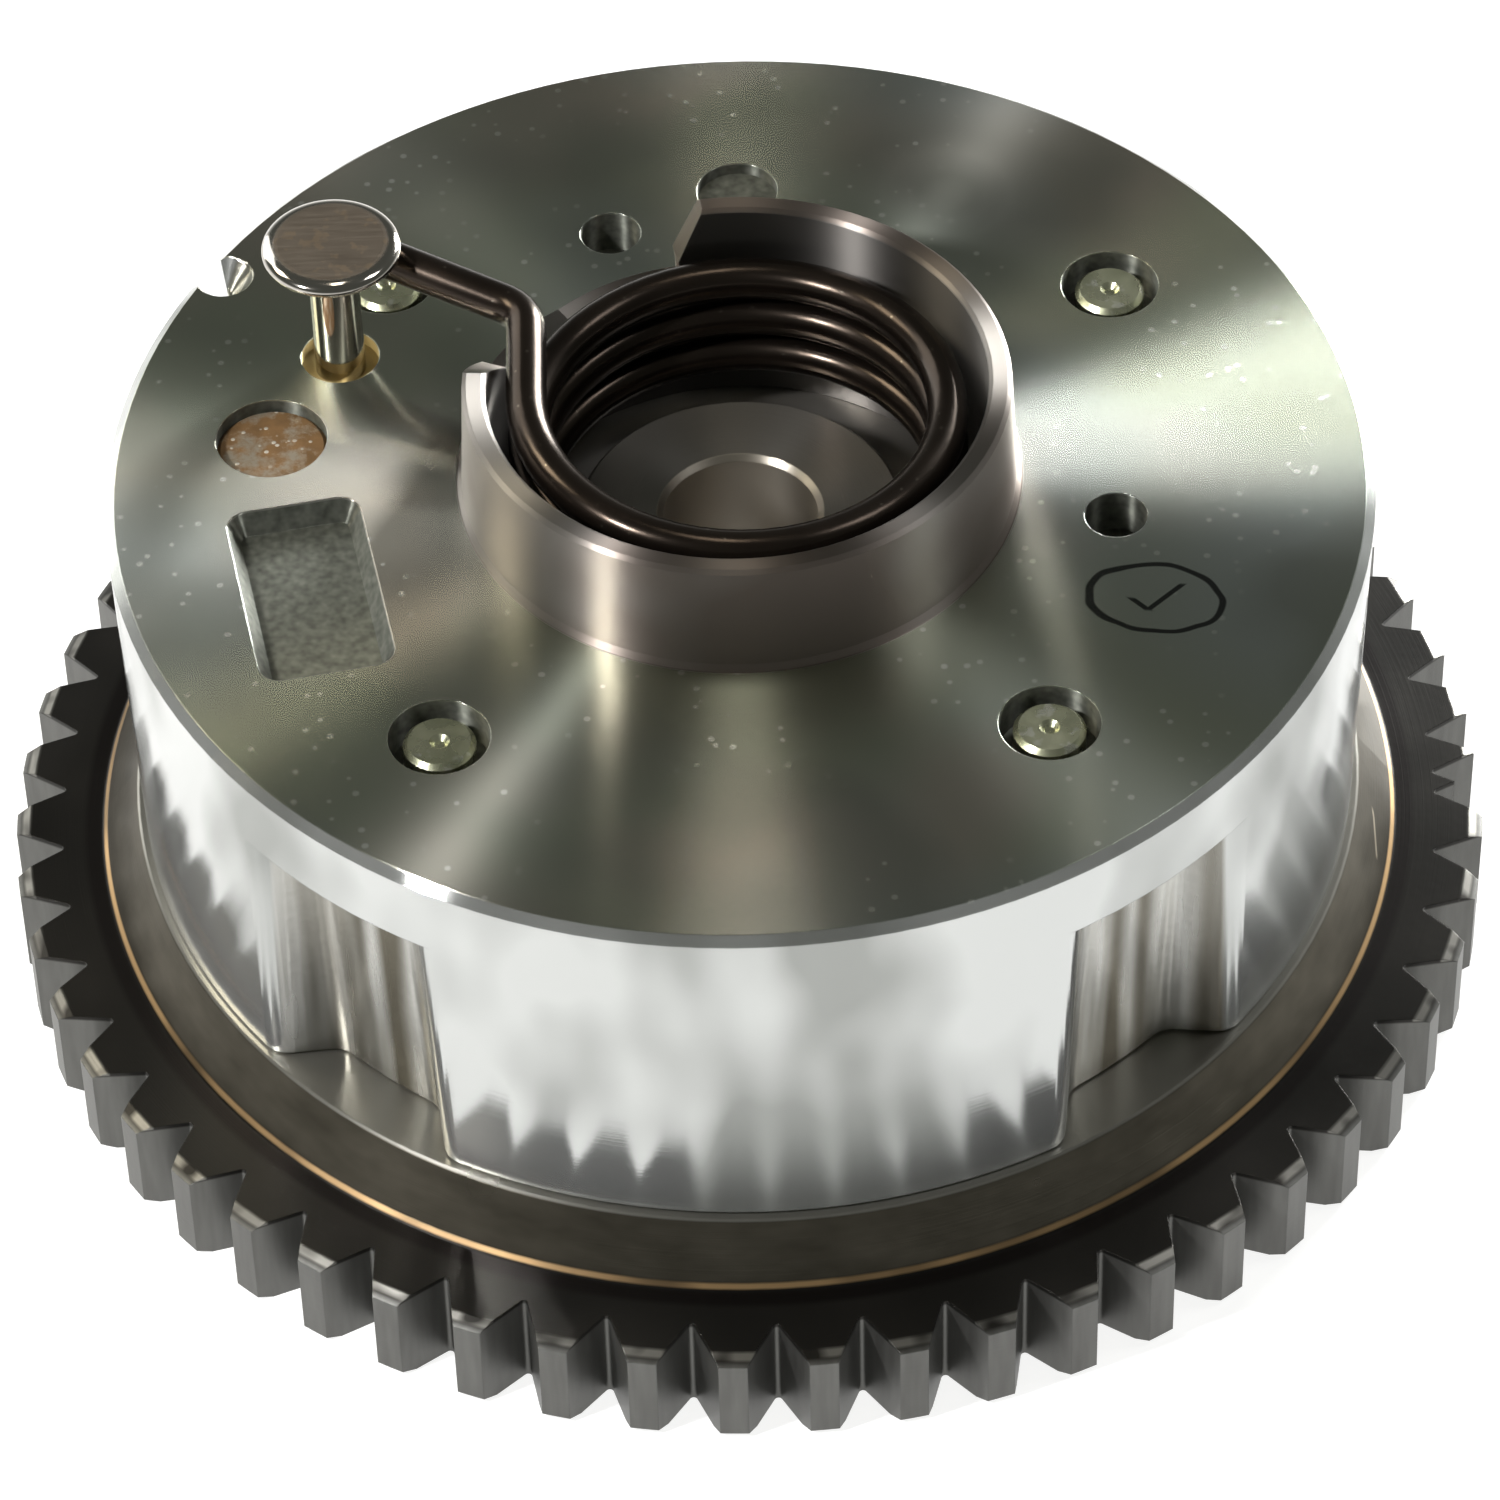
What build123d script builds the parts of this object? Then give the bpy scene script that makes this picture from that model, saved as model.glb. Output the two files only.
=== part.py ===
"""A vane-type cam phaser with a silent-chain sprocket and a torsion bias spring.

Millimetres and degrees. Z runs along the camshaft axis and its zero is the
rear face of the sprocket, so the phaser stands on that face. Angles are
counted anticlockwise from +X, looking at the front face.
"""

import os
from math import cos, hypot, pi, radians, sin, tan

from build123d import *

os.makedirs("parts", exist_ok=True)

# Levels along the axis
hub_height = 12.3  # rear face to the joint between sprocket and housing
chamber_depth = 20.2
front_wall = 8.3
collar_height = 8.9
face_z = hub_height + chamber_depth + front_wall
chamber_floor_z = hub_height + chamber_depth
collar_top_z = face_z + collar_height

# Sprocket for a silent chain
chain_pitch = 6.35
tooth_count = 54
tooth_phase = 4.36  # angle of the first gap
tip_drop = 0.8  # the tips lie this far inside the pitch circle
tooth_depth = 3.44
tip_width = 1.95
flank_angle = 30.0
ring_thickness = 8.1
tip_bevel_radial = 1.0
tip_bevel_axial = 0.45
hub_top_radius = 44.65
hub_top_chamfer = 0.2
hub_foot_radius = 47.05
hub_foot_height = 0.45
hub_toe_radius = 47.5
pilot_radius = 17.0
pilot_chamfer = 0.8

# Housing: outside
body_foot_radius = 44.05
casting_draft = 1.07
face_chamfer_radial = 0.7
face_chamfer_axial = 0.6
rear_edge_chamfer = 0.25
rim_height = 6.2  # full turned rim above the cast pockets
pocket_depth = 3.85  # at the wall's foot
pocket_half_width = 4.4
pocket_draft = 1.8
pocket_corner_radius = 2.0
pocket_edge_radius = 2.0
notch_angle = 149.3
notch_depth = 3.35
notch_half_width = 1.85
notch_lean = 1.4  # the deepest point of the notch leans along the rim

scoop_angle = 149.5  # conical scoop in the face over the notch
scoop_inset = 1.25  # its centre lies this far inside the wall's foot radius
scoop_radius = 2.15
scoop_tip_radius = 0.5
scoop_depth = 1.8

# Housing: inside
chamber_wall = 0.8  # between a pocket's floor and a chamber
shoe_tip_radius = 26.0
shoe_half_angle = 11.0
chamber_corner_radius = 1.2
shoe_corner_radius = 1.0

# Collar that holds the bias spring
well_radius = 17.45
collar_foot_radius = 19.8
collar_foot_height = 0.5
collar_base_radius = 19.5
collar_top_radius = 19.1
collar_top_chamfer = 0.3
well_chamfer = 0.3
collar_cut_height = 4.4  # height that is left where the spring arm passes
cut_low_angles = (103.0, 158.0)
cut_high_angles = (97.0, 176.0)

# Details on the front face
cast_pocket_centre = (-29.9, -10.4)
cast_pocket_size = (9.5, 16.9)
cast_pocket_turn = 10.7
cast_pocket_depth = 1.6
cast_pocket_draft = 30.0
cast_pocket_corner = 1.6
dimple_angle = 89.2
dimple_orbit = 29.5
dimple_radius = 2.95
dimple_depth = 1.0
tooling_hole_angles = (109.4, -11.8)
tooling_hole_orbit = 26.7
tooling_hole_radius = 2.2
tooling_hole_depth = 3.5

# Screws, put in from the rear and threaded into the front wall
screw_angles = (34.0, 140.4, 230.3, 309.0)
screw_web = 1.25  # between a shoe's seal groove and its screw hole
screw_radius = 2.5
screw_end_depth = 0.4  # screw end below the front face
screw_end_chamfer = 0.35
screw_dimple_radius = 0.7
head_radius = 4.25
head_height = 5.0
head_sink = 0.4
head_clearance = 0.45
head_edge = 0.4
socket_across_flats = 4.0
socket_depth = 2.5
shank_clearance = 0.25
thread_clearance = 0.02
thread_length = 10.0
front_counterbore_radius = 3.5
front_counterbore_depth = 3.0

# Dowel between sprocket and housing
dowel_radius = 1.25
dowel_length = 6.0
dowel_angle = 269.4
dowel_end_gap = 0.1
dowel_fit = 0.01

# Rotor
rotor_travel = 25.0
axial_clearance = 0.05
hub_clearance = 0.3
vane_tip_clearance = 0.3
stop_gap_angle = 0.3
plain_vane_angle = 20.0
vane_corner_radius = 1.6
vane_root_radius = 0.6
seat_radius = 15.5
seat_height = 0.4  # raised seat for the camshaft's end face
boss_radius = 11.5
boss_height = 4.3  # above the chamber floor level
boss_chamfer = 0.25
bolt_bore_radius = 5.5
bolt_bore_chamfer = 0.4
cam_dowel_radius = 2.5
cam_dowel_orbit = 12.0
cam_dowel_depth = 6.0
cam_dowel_angle = 90.0
oil_hole_radius = 1.3
oil_hole_levels = (5.0, 14.5)  # above the joint plane
oil_hole_offset_angle = 5.0  # from the flank of each vane

# Seals in the vane tips and in the shoe tips, each on a leaf spring
seal_width = 3.1
seal_height = 2.05
seal_running_gap = 0.08
seal_side_gap = 0.05
seal_end_gap = 0.1
seal_groove_depth = 2.6
seal_spring_thickness = 0.25
seal_spring_width = 2.6
seal_spring_length = 17.0
seal_spring_gap = 0.03
lock_vane_seal_offset = 13.0

# Lock pin in the wide vane, with its bush in the front wall
lock_pin_angle = 172.0
lock_pin_inset = 6.1  # its axis lies this far inside the chamber's wall
pin_nose_radius = 2.75
pin_nose_length = 7.0
pin_body_radius = 3.95
pin_body_length = 6.0
pin_running_gap = 0.05
pin_tip_gap = 0.15  # the tip rests this far below the rotor's front face
pin_lock_depth = 3.9  # how far a locked pin would reach into the bush
pin_nose_chamfer = 0.5
pin_hollow_radius = 2.6
pin_hollow_depth = 5.0
bush_outer_radius = 3.95
bush_recess = 0.9
bush_bore_gap = 0.1
bush_bore_depth = 4.2
bush_edge = 0.3
cap_thickness = 2.0
cap_vent_radius = 1.0
pin_spring_wire = 0.25  # radius
pin_spring_radius = 2.1
pin_spring_turns = 7
pin_spring_end_gap = 0.05

# Bias spring and its post
wire_radius = 1.43
coil_radius = 14.65
coil_pitch = 3.5
coil_turns = 3.25
arm_level = 7.5  # centre of the arm's start above the front face
leg_bend_radius = 2.6
leg_reach = 3.0  # into the rotor
leg_hole_clearance = 0.1
arm_direction = 148.5
arm_bend_radius = 3.4
hook_gap = 0.1
hook_sweep = 95.0
post_angle = 155.4
post_orbit = 31.1
post_shank_radius = 1.8
post_head_radius = 4.92
post_head_flat = 3.75  # radius of the flat inside the rounded edge
post_head_thickness = 1.35
post_head_gap = 0.2
post_depth = 6.8
post_hole_extra = 0.3
post_recess_radius = 2.8
post_recess_depth = 1.0
post_fit = 0.01

# Sizes that follow from those above
tip_radius = chain_pitch / (2 * sin(pi / tooth_count)) - tip_drop
root_radius = tip_radius - tooth_depth
rim_z = face_z - rim_height
rim_foot_radius = body_foot_radius + (rim_z - hub_height) * tan(radians(casting_draft))
body_radius = rim_foot_radius + (rim_height - face_chamfer_axial) * tan(radians(casting_draft))
pocket_floor_radius = body_foot_radius - pocket_depth
chamber_radius = pocket_floor_radius - chamber_wall
scoop_orbit = body_foot_radius - scoop_inset
shank_hole_radius = screw_radius + shank_clearance
screw_orbit = shoe_tip_radius + seal_groove_depth + screw_web + shank_hole_radius
lock_pin_orbit = chamber_radius - lock_pin_inset
hub_radius = shoe_tip_radius - hub_clearance
vane_tip_radius = chamber_radius - vane_tip_clearance
rotor_rear_z = hub_height + axial_clearance
seat_z = rotor_rear_z - seat_height
rotor_front_z = chamber_floor_z - axial_clearance
boss_top_z = chamber_floor_z + boss_height
post_head_bottom = arm_level + wire_radius + post_head_gap + coil_pitch / (2 * pi)
arm_slope = coil_pitch / (2 * pi * coil_radius)
groove_width = seal_width + 2 * seal_side_gap


def polar(radius, angle):
    """A point in the plane from its radius and angle."""
    return (radius * cos(radians(angle)), radius * sin(radians(angle)))


def turned(angle):
    """A place on the axis, turned about it."""
    return Location((0, 0, 0), (0, 0, angle))


def level(height, angle=0):
    """A plane square to the axis at a height, turned about the axis."""
    return Plane.XY.offset(height).rotated((0, 0, angle))


def wedge(half_angle, inner, outer):
    """The four corners of a radial wedge about the X direction."""
    return [
        polar(inner, -half_angle),
        polar(outer, -half_angle),
        polar(outer, half_angle),
        polar(inner, half_angle),
    ]


def save(builder, name):
    """Label one finished piece and write it."""
    builder.part.label = name
    export_step(builder.part, f"parts/{name}.step")


def casting_outline(height, outer, shift):
    """The wall's outline at a height; its pockets are shallower there by a shift."""
    floor = pocket_floor_radius + shift
    half_width = pocket_half_width - shift * (1 / cos(radians(45)) - 1)
    floor_x = (floor**2 - half_width**2) ** 0.5
    flare = outer + 1 - floor_x
    with BuildSketch(level(height)) as outline:
        Circle(outer)
        for angle in screw_angles:
            with Locations(turned(angle)):
                Polygon(
                    (floor_x - 1, half_width - 1),
                    (floor_x - 1, 1 - half_width),
                    (floor_x + flare, -half_width - flare),
                    (floor_x + flare, half_width + flare),
                    align=None,
                    mode=Mode.SUBTRACT,
                )
        Circle(floor)
        corners = outline.vertices().filter_by(lambda v: hypot(v.X, v.Y) > outer - 0.1)
        fillet(corners, radius=pocket_edge_radius)
        corners = outline.vertices().filter_by(lambda v: hypot(v.X, v.Y) < floor + 0.1)
        fillet(corners, radius=pocket_corner_radius)
    return outline.sketch


# Each chamber runs from one shoe to the next
chambers = []
for number, angle in enumerate(screw_angles):
    following = screw_angles[(number + 1) % len(screw_angles)]
    if following < angle:
        following += 360
    chambers.append((angle + shoe_half_angle, following - shoe_half_angle))

# At rest each vane lies half the travel clockwise of its chamber's middle
vane_angles = [(first + last - rotor_travel) / 2 for first, last in chambers]
vane_widths = []
for first, last in chambers:
    if first < lock_pin_angle < last:
        vane_widths.append(last - first - rotor_travel - 2 * stop_gap_angle)
    else:
        vane_widths.append(plain_vane_angle)
seal_angles = []
for middle, width in zip(vane_angles, vane_widths):
    if width > plain_vane_angle:
        seal_angles.append(middle + lock_vane_seal_offset)
    else:
        seal_angles.append(middle)

# The housing is one casting: front wall, collar, chamber wall and four shoes
with BuildPart() as housing:
    # Drafted wall with a pocket cast into the outside behind each shoe
    pocket_shift = (rim_z - hub_height) * tan(radians(pocket_draft))
    foot_outline = casting_outline(
        hub_height, body_foot_radius - rear_edge_chamfer, -rear_edge_chamfer
    )
    wall_outline = casting_outline(hub_height + rear_edge_chamfer, body_foot_radius, 0)
    rim_outline = casting_outline(rim_z, rim_foot_radius, pocket_shift)
    loft([foot_outline, wall_outline, rim_outline], ruled=True)

    # Turned rim, face and collar
    with BuildSketch(Plane.XZ):
        with BuildLine():
            Polyline(
                (0, rim_z),
                (rim_foot_radius, rim_z),
                (body_radius, face_z - face_chamfer_axial),
                (body_radius - face_chamfer_radial, face_z),
                (collar_foot_radius, face_z),
                (collar_base_radius, face_z + collar_foot_height),
                (collar_top_radius, collar_top_z - collar_top_chamfer),
                (collar_top_radius - collar_top_chamfer, collar_top_z),
                (0, collar_top_z),
                close=True,
            )
        make_face()
    revolve(axis=Axis.Z)
    with BuildSketch(level(hub_height)):
        Circle(well_radius)
    extrude(amount=collar_top_z - hub_height, mode=Mode.SUBTRACT)
    with BuildSketch(Plane.XZ):
        with BuildLine():
            Polyline(
                (0, collar_top_z),
                (well_radius + well_chamfer, collar_top_z),
                (well_radius, collar_top_z - well_chamfer),
                (0, collar_top_z - well_chamfer),
                close=True,
            )
        make_face()
    revolve(axis=Axis.Z, mode=Mode.SUBTRACT)

    # Four oil chambers between the shoes
    with BuildSketch(level(hub_height)) as cavity:
        Circle(chamber_radius)
        for angle in screw_angles:
            with Locations(turned(angle)):
                shoe = wedge(shoe_half_angle, shoe_tip_radius / 2, body_radius)
                Polygon(*shoe, align=None, mode=Mode.SUBTRACT)
        Circle(shoe_tip_radius)
        corners = cavity.vertices().filter_by(lambda v: hypot(v.X, v.Y) > vane_tip_radius)
        fillet(corners, radius=chamber_corner_radius)
        corners = cavity.vertices().filter_by(
            lambda v: abs(hypot(v.X, v.Y) - shoe_tip_radius) < axial_clearance
        )
        fillet(corners, radius=shoe_corner_radius)
    extrude(amount=chamber_depth, mode=Mode.SUBTRACT)

    # Grooves for the shoe seals
    with BuildSketch(level(hub_height)):
        for angle in screw_angles:
            with Locations(turned(angle)):
                with Locations((shoe_tip_radius, 0)):
                    Rectangle(2 * seal_groove_depth, groove_width)
    extrude(amount=chamber_depth, mode=Mode.SUBTRACT)

    # Screw holes: clearance in the shoes, thread in front of it, open counterbore
    screw_places = [polar(screw_orbit, angle) for angle in screw_angles]
    thread_end_z = face_z - front_counterbore_depth
    with BuildSketch(level(hub_height)):
        with Locations(*screw_places):
            Circle(shank_hole_radius)
    extrude(amount=thread_end_z - thread_length - hub_height, mode=Mode.SUBTRACT)
    with BuildSketch(level(hub_height)):
        with Locations(*screw_places):
            Circle(screw_radius + thread_clearance)
    extrude(amount=chamber_depth + front_wall, mode=Mode.SUBTRACT)
    with BuildSketch(level(face_z)):
        with Locations(*screw_places):
            Circle(front_counterbore_radius)
    extrude(amount=-front_counterbore_depth, mode=Mode.SUBTRACT)

    # Bush hole through the front wall
    with BuildSketch(level(chamber_floor_z)):
        with Locations(polar(lock_pin_orbit, lock_pin_angle)):
            Circle(bush_outer_radius)
    extrude(amount=front_wall, mode=Mode.SUBTRACT)

    # Post hole with its shallow recess
    post_place = polar(post_orbit, post_angle)
    with BuildSketch(level(face_z)):
        with Locations(post_place):
            Circle(post_shank_radius + post_fit)
    extrude(amount=-post_depth - post_hole_extra, mode=Mode.SUBTRACT)
    with BuildSketch(level(face_z)):
        with Locations(post_place):
            Circle(post_recess_radius)
    extrude(amount=-post_recess_depth, mode=Mode.SUBTRACT)

    # Cast pocket with drafted walls, shallow dimple and two tooling holes
    with BuildSketch(level(face_z)):
        with Locations(Location((*cast_pocket_centre, 0), (0, 0, cast_pocket_turn))):
            RectangleRounded(*cast_pocket_size, cast_pocket_corner)
    extrude(amount=-cast_pocket_depth, taper=cast_pocket_draft, mode=Mode.SUBTRACT)
    with BuildSketch(level(face_z)):
        with Locations(polar(dimple_orbit, dimple_angle)):
            Circle(dimple_radius)
    extrude(amount=-dimple_depth, mode=Mode.SUBTRACT)
    with BuildSketch(level(face_z)):
        with Locations(*[polar(tooling_hole_orbit, angle) for angle in tooling_hole_angles]):
            Circle(tooling_hole_radius)
    extrude(amount=-tooling_hole_depth, mode=Mode.SUBTRACT)

    # Notch through the rim, over the pocket
    with BuildSketch(level(face_z, notch_angle)):
        Polygon(
            (body_radius - notch_depth, notch_lean),
            (body_radius, notch_half_width),
            (body_radius + 1, notch_half_width),
            (body_radius + 1, -notch_half_width),
            (body_radius, -notch_half_width),
            align=None,
        )
    extrude(amount=-rim_height, mode=Mode.SUBTRACT)

    with BuildSketch(Plane.XZ) as scoop:
        with BuildLine():
            Polyline(
                (0, face_z),
                (scoop_radius, face_z),
                (scoop_tip_radius, face_z - scoop_depth),
                (0, face_z - scoop_depth),
                close=True,
            )
        make_face()
    scoop_place = Location(polar(scoop_orbit, scoop_angle))
    add(revolve(scoop.sketch, axis=Axis.Z, mode=Mode.PRIVATE).moved(scoop_place), mode=Mode.SUBTRACT)

    # Part of the collar is lower, so that the spring arm can pass over it
    cut_z = face_z + collar_cut_height
    sweep_out = 1.5 * collar_foot_radius
    with BuildSketch(level(cut_z)):
        low_first, low_last = cut_low_angles
        Polygon(
            (0, 0),
            polar(sweep_out, low_first),
            polar(sweep_out, (low_first + low_last) / 2),
            polar(sweep_out, low_last),
            align=None,
        )
    with BuildSketch(level(collar_top_z)):
        high_first, high_last = cut_high_angles
        Polygon(
            (0, 0),
            polar(sweep_out, high_first),
            polar(sweep_out, (high_first + high_last) / 2),
            polar(sweep_out, high_last),
            align=None,
        )
    loft(ruled=True, mode=Mode.SUBTRACT)

    # Blind hole for the dowel
    with BuildSketch(level(hub_height)):
        dowel_orbit = (chamber_radius + body_foot_radius) / 2
        with Locations(polar(dowel_orbit, dowel_angle)):
            Circle(dowel_radius + dowel_fit)
    extrude(amount=dowel_length / 2 + dowel_end_gap, mode=Mode.SUBTRACT)
save(housing, "housing")

# The sprocket closes the chambers from behind
with BuildPart() as sprocket:
    with BuildSketch(Plane.XZ):
        with BuildLine():
            Polyline(
                (pilot_radius + pilot_chamfer, 0),
                (tip_radius - tip_bevel_radial, 0),
                (tip_radius, tip_bevel_axial),
                (tip_radius, ring_thickness - tip_bevel_axial),
                (tip_radius - tip_bevel_radial, ring_thickness),
                (hub_toe_radius, ring_thickness),
                (hub_foot_radius, ring_thickness + hub_foot_height),
                (hub_top_radius, hub_height - hub_top_chamfer),
                (hub_top_radius - hub_top_chamfer, hub_height),
                (pilot_radius + pilot_chamfer, hub_height),
                (pilot_radius, hub_height - pilot_chamfer),
                (pilot_radius, pilot_chamfer),
                close=True,
            )
        make_face()
    revolve(axis=Axis.Z)

    # One gap between two teeth, round at its root, repeated about the axis
    gap_half_width = pi * tip_radius / tooth_count - tip_width / 2
    gap_apex = tip_radius - gap_half_width / tan(radians(flank_angle))
    root_round = (root_radius - gap_apex) / (1 / sin(radians(flank_angle)) - 1)
    with BuildSketch(Plane.XY) as gap:
        with BuildLine():
            outside = tip_radius + 1
            spread = (outside - gap_apex) * tan(radians(flank_angle))
            Polyline((gap_apex, 0), (outside, spread), (outside, -spread), close=True)
        make_face()
        fillet(gap.vertices().sort_by(Axis.X)[0], radius=root_round)
    with BuildSketch(Plane.XY):
        with PolarLocations(0, tooth_count, start_angle=tooth_phase):
            add(gap.sketch)
    extrude(amount=ring_thickness, mode=Mode.SUBTRACT)

    # Counterbored screw holes from behind, and the dowel hole in front
    with BuildSketch(Plane.XY):
        with Locations(*screw_places):
            Circle(head_radius + head_clearance)
    extrude(amount=head_height + head_sink, mode=Mode.SUBTRACT)
    with BuildSketch(Plane.XY):
        with Locations(*screw_places):
            Circle(shank_hole_radius)
    extrude(amount=hub_height, mode=Mode.SUBTRACT)
    with BuildSketch(level(hub_height)):
        with Locations(polar(dowel_orbit, dowel_angle)):
            Circle(dowel_radius + dowel_fit)
    extrude(amount=-dowel_length / 2 - dowel_end_gap, mode=Mode.SUBTRACT)
save(sprocket, "sprocket")

with BuildPart() as locating_pin:
    with BuildSketch(level(hub_height - dowel_length / 2)):
        with Locations(polar(dowel_orbit, dowel_angle)):
            Circle(dowel_radius)
    extrude(amount=dowel_length)
    chamfer(locating_pin.edges().filter_by(GeomType.CIRCLE), length=dowel_radius / 5)
save(locating_pin, "locating_pin")

# The spring leg enters the rotor here
arm_start = (-coil_radius, 0, face_z + arm_level)
coil_bottom_z = face_z + arm_level - coil_pitch * coil_turns
helix_angle = 180 / pi * arm_slope
leg_x = leg_bend_radius * (1 - sin(radians(helix_angle)))
leg_y = -coil_radius

# The rotor turns with the camshaft inside the housing
pin_place = polar(lock_pin_orbit, lock_pin_angle)
pin_shoulder_z = rotor_front_z - pin_tip_gap - pin_nose_length
pin_stop_z = chamber_floor_z + pin_lock_depth - pin_nose_length
with BuildPart() as rotor:
    with BuildSketch(level(rotor_rear_z)) as star:
        for middle, width in zip(vane_angles, vane_widths):
            with Locations(turned(middle)):
                Polygon(*wedge(width / 2, hub_radius / 2, body_radius), align=None)
        Circle(vane_tip_radius, mode=Mode.INTERSECT)
        Circle(hub_radius)
        corners = star.vertices().filter_by(
            lambda v: abs(hypot(v.X, v.Y) - vane_tip_radius) < axial_clearance
        )
        fillet(corners, radius=vane_corner_radius)
        corners = star.vertices().filter_by(
            lambda v: abs(hypot(v.X, v.Y) - hub_radius) < axial_clearance
        )
        fillet(corners, radius=vane_root_radius)
    extrude(amount=rotor_front_z - rotor_rear_z)

    # Seat for the camshaft behind, boss inside the bias spring in front
    with BuildSketch(level(seat_z)):
        Circle(seat_radius)
    extrude(amount=seat_height)
    with BuildSketch(Plane.XZ):
        with BuildLine():
            Polyline(
                (0, rotor_front_z),
                (boss_radius, rotor_front_z),
                (boss_radius, boss_top_z - boss_chamfer),
                (boss_radius - boss_chamfer, boss_top_z),
                (0, boss_top_z),
                close=True,
            )
        make_face()
    revolve(axis=Axis.Z)

    # Bore for the camshaft bolt
    with BuildSketch(Plane.XZ):
        with BuildLine():
            Polyline(
                (0, seat_z),
                (bolt_bore_radius + bolt_bore_chamfer, seat_z),
                (bolt_bore_radius, seat_z + bolt_bore_chamfer),
                (bolt_bore_radius, boss_top_z - bolt_bore_chamfer),
                (bolt_bore_radius + bolt_bore_chamfer, boss_top_z),
                (0, boss_top_z),
                close=True,
            )
        make_face()
    revolve(axis=Axis.Z, mode=Mode.SUBTRACT)

    # Grooves for the vane seals
    with BuildSketch(level(rotor_rear_z)):
        for angle in seal_angles:
            with Locations(turned(angle)):
                with Locations((vane_tip_radius, 0)):
                    Rectangle(2 * seal_groove_depth, groove_width)
    extrude(amount=rotor_front_z - rotor_rear_z, mode=Mode.SUBTRACT)

    # Stepped bore for the lock pin and its cap
    with BuildSketch(level(rotor_rear_z)):
        with Locations(pin_place):
            Circle(pin_body_radius + pin_running_gap)
    extrude(amount=pin_stop_z - rotor_rear_z, mode=Mode.SUBTRACT)
    with BuildSketch(level(rotor_rear_z)):
        with Locations(pin_place):
            Circle(pin_nose_radius + pin_running_gap)
    extrude(amount=rotor_front_z - rotor_rear_z, mode=Mode.SUBTRACT)

    # Hole for the leg of the bias spring, and the camshaft's dowel hole
    with BuildSketch(level(rotor_front_z)):
        with Locations((leg_x, leg_y)):
            Circle(wire_radius + leg_hole_clearance)
    extrude(amount=-leg_reach - leg_hole_clearance, mode=Mode.SUBTRACT)
    with BuildSketch(level(seat_z)):
        with Locations(polar(cam_dowel_orbit, cam_dowel_angle)):
            Circle(cam_dowel_radius)
    extrude(amount=cam_dowel_depth, mode=Mode.SUBTRACT)

    # Oil holes from the bore to both sides of every vane
    for middle, width in zip(vane_angles, vane_widths):
        for side, height in zip((-1, 1), oil_hole_levels):
            angle = middle + side * (width / 2 + oil_hole_offset_angle)
            out = (cos(radians(angle)), sin(radians(angle)), 0)
            with BuildSketch(Plane((0, 0, hub_height + height), z_dir=out)):
                Circle(oil_hole_radius)
            extrude(amount=hub_radius + 1, mode=Mode.SUBTRACT)
save(rotor, "rotor")

# Vane seals slide on the chamber wall, shoe seals on the rotor hub
seal_length = chamber_depth - 2 * axial_clearance - 2 * seal_end_gap
seal_z = rotor_rear_z + seal_end_gap
spring_z = hub_height + chamber_depth / 2
for number, angle in enumerate(seal_angles, start=1):
    face_radius = chamber_radius - seal_running_gap
    with BuildPart() as vane_seal:
        with BuildSketch(level(seal_z, angle)):
            with Locations((face_radius - seal_height / 2, 0)):
                Rectangle(seal_height, seal_width)
            Circle(face_radius, mode=Mode.INTERSECT)
        extrude(amount=seal_length)
    save(vane_seal, f"vane_seal_{number}")

    floor_radius = vane_tip_radius - seal_groove_depth
    arch = face_radius - seal_height - floor_radius - seal_spring_thickness - 2 * seal_spring_gap
    low = floor_radius + seal_spring_gap
    with BuildPart() as vane_seal_spring:
        side = Plane((0, 0, spring_z), x_dir=(*polar(1, angle), 0), z_dir=(*polar(1, angle - 90), 0))
        with BuildSketch(side):
            with BuildLine():
                inner = ThreePointArc(
                    (low, -seal_spring_length / 2), (low + arch, 0), (low, seal_spring_length / 2)
                )
                outer = ThreePointArc(
                    (low + seal_spring_thickness, -seal_spring_length / 2),
                    (low + seal_spring_thickness + arch, 0),
                    (low + seal_spring_thickness, seal_spring_length / 2),
                )
                Line(inner @ 0, outer @ 0)
                Line(inner @ 1, outer @ 1)
            make_face()
        extrude(amount=seal_spring_width / 2, both=True)
    save(vane_seal_spring, f"vane_seal_spring_{number}")

for number, angle in enumerate(screw_angles, start=1):
    face_radius = hub_radius + seal_running_gap
    with BuildPart() as shoe_seal:
        with BuildSketch(level(seal_z, angle)):
            with Locations((face_radius + seal_height / 2, 0)):
                Rectangle(seal_height, seal_width)
            Circle(face_radius, mode=Mode.SUBTRACT)
        extrude(amount=seal_length)
    save(shoe_seal, f"shoe_seal_{number}")

    floor_radius = shoe_tip_radius + seal_groove_depth
    arch = floor_radius - face_radius - seal_height - seal_spring_thickness - 2 * seal_spring_gap
    high = floor_radius - seal_spring_gap
    with BuildPart() as shoe_seal_spring:
        side = Plane((0, 0, spring_z), x_dir=(*polar(1, angle), 0), z_dir=(*polar(1, angle - 90), 0))
        with BuildSketch(side):
            with BuildLine():
                outer = ThreePointArc(
                    (high, -seal_spring_length / 2), (high - arch, 0), (high, seal_spring_length / 2)
                )
                inner = ThreePointArc(
                    (high - seal_spring_thickness, -seal_spring_length / 2),
                    (high - seal_spring_thickness - arch, 0),
                    (high - seal_spring_thickness, seal_spring_length / 2),
                )
                Line(inner @ 0, outer @ 0)
                Line(inner @ 1, outer @ 1)
            make_face()
        extrude(amount=seal_spring_width / 2, both=True)
    save(shoe_seal_spring, f"shoe_seal_spring_{number}")

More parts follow.
